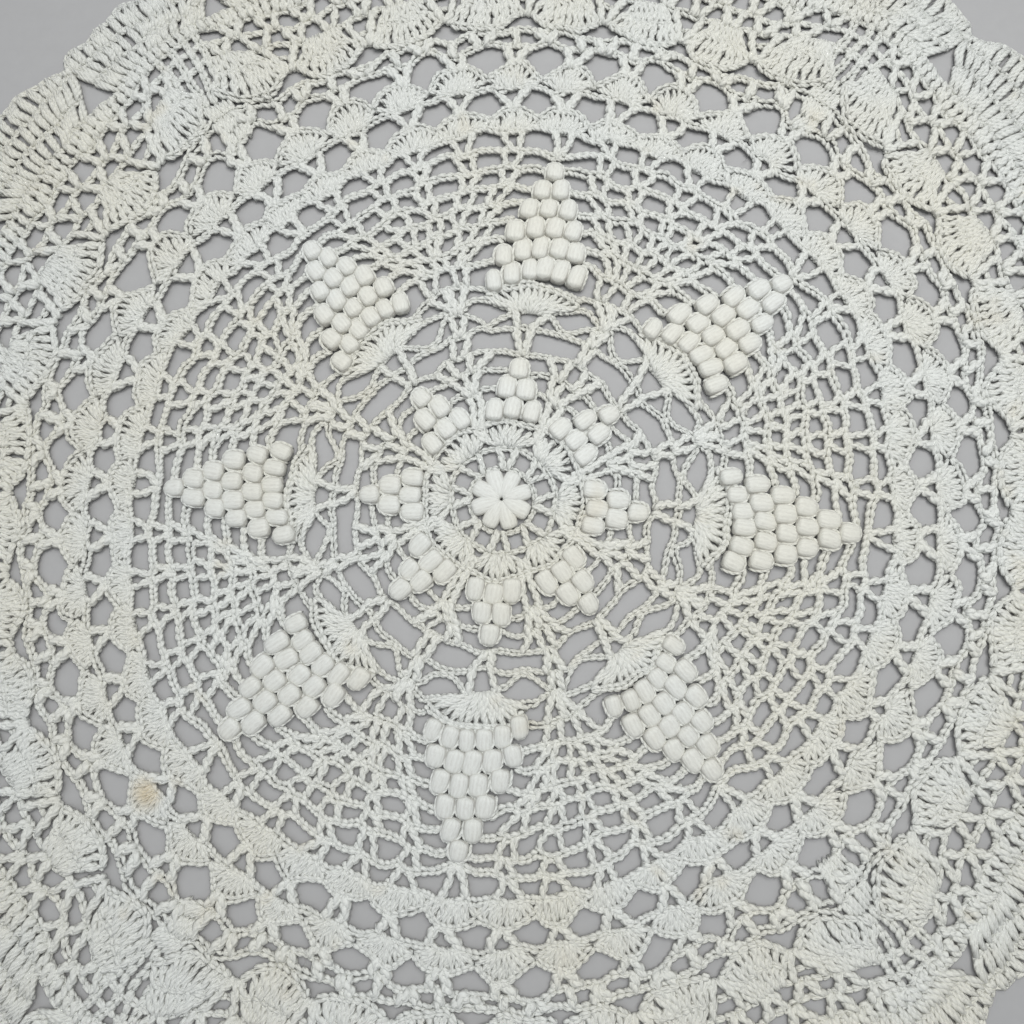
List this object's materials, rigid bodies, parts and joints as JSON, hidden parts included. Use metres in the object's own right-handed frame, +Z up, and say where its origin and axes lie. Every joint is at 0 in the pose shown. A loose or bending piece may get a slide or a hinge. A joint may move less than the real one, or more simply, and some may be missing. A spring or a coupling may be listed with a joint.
{
  "type": "crochet tablecloth",
  "caption": "Round white cotton crochet cloth, lying flat: popcorn star and pineapples in an open V-stitch mesh, bands of shells, a chain lattice and a scalloped fan border.",
  "frame": {"origin": "middle of the medallion on the underside, the plane that the cloth lies on", "axes": "+Z up out of the face of the cloth, +Y away from the viewer, +X to the viewer's right"},
  "size_m": [0.4267, 0.4331, 0.005],
  "materials": {
    "cotton": "matt white cotton crochet thread"
  },
  "bodies": {
    "root": {"cloth": "cotton"}
  },
  "joints": []
}
